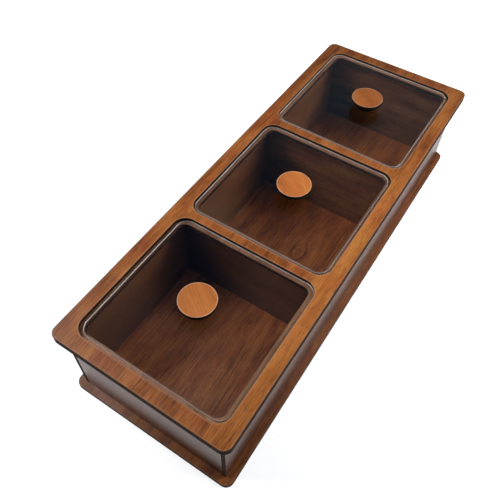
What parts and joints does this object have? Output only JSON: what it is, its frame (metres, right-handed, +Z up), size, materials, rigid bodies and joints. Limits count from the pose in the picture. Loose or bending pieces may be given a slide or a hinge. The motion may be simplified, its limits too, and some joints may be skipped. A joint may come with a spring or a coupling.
{
  "type": "three-compartment serving box",
  "caption": "Long low wooden serving box divided into square compartments, each with a clear drop-in lid on a ledge and a round wooden knob.",
  "frame": {"origin": "middle of the underside of the base board", "axes": "+X along the length, +Z up, -Y towards the front long side"},
  "size_m": [0.36, 0.129, 0.082],
  "materials": {
    "dark_wood": "satin walnut-brown board with dark burnt cut edges",
    "knob_wood": "satin red-brown board with dark burnt cut edges",
    "clear_acrylic": "clear polished sheet"
  },
  "bodies": {
    "box": {"base_board": "dark_wood", "front_wall": "dark_wood", "back_wall": "dark_wood", "left_end_wall": "dark_wood", "right_end_wall": "dark_wood", "divider_left": "dark_wood", "divider_right": "dark_wood", "ledge_frame": "dark_wood", "top_frame": "dark_wood"},
    "lid_left": {"left_pane": "clear_acrylic", "left_knob_spacer_1": "knob_wood", "left_knob_spacer_2": "knob_wood", "left_knob_cap": "knob_wood"},
    "lid_middle": {"middle_pane": "clear_acrylic", "middle_knob_spacer_1": "knob_wood", "middle_knob_spacer_2": "knob_wood", "middle_knob_cap": "knob_wood"},
    "lid_right": {"right_pane": "clear_acrylic", "right_knob_spacer_1": "knob_wood", "right_knob_spacer_2": "knob_wood", "right_knob_cap": "knob_wood"}
  },
  "joints": [
    {"name": "lift_left_lid", "type": "slide", "parent": "box", "child": "lid_left", "axis": [0, 0, 1], "range_m": [0, 0.06]},
    {"name": "lift_middle_lid", "type": "slide", "parent": "box", "child": "lid_middle", "axis": [0, 0, 1], "range_m": [0, 0.06]},
    {"name": "lift_right_lid", "type": "slide", "parent": "box", "child": "lid_right", "axis": [0, 0, 1], "range_m": [0, 0.06]}
  ]
}
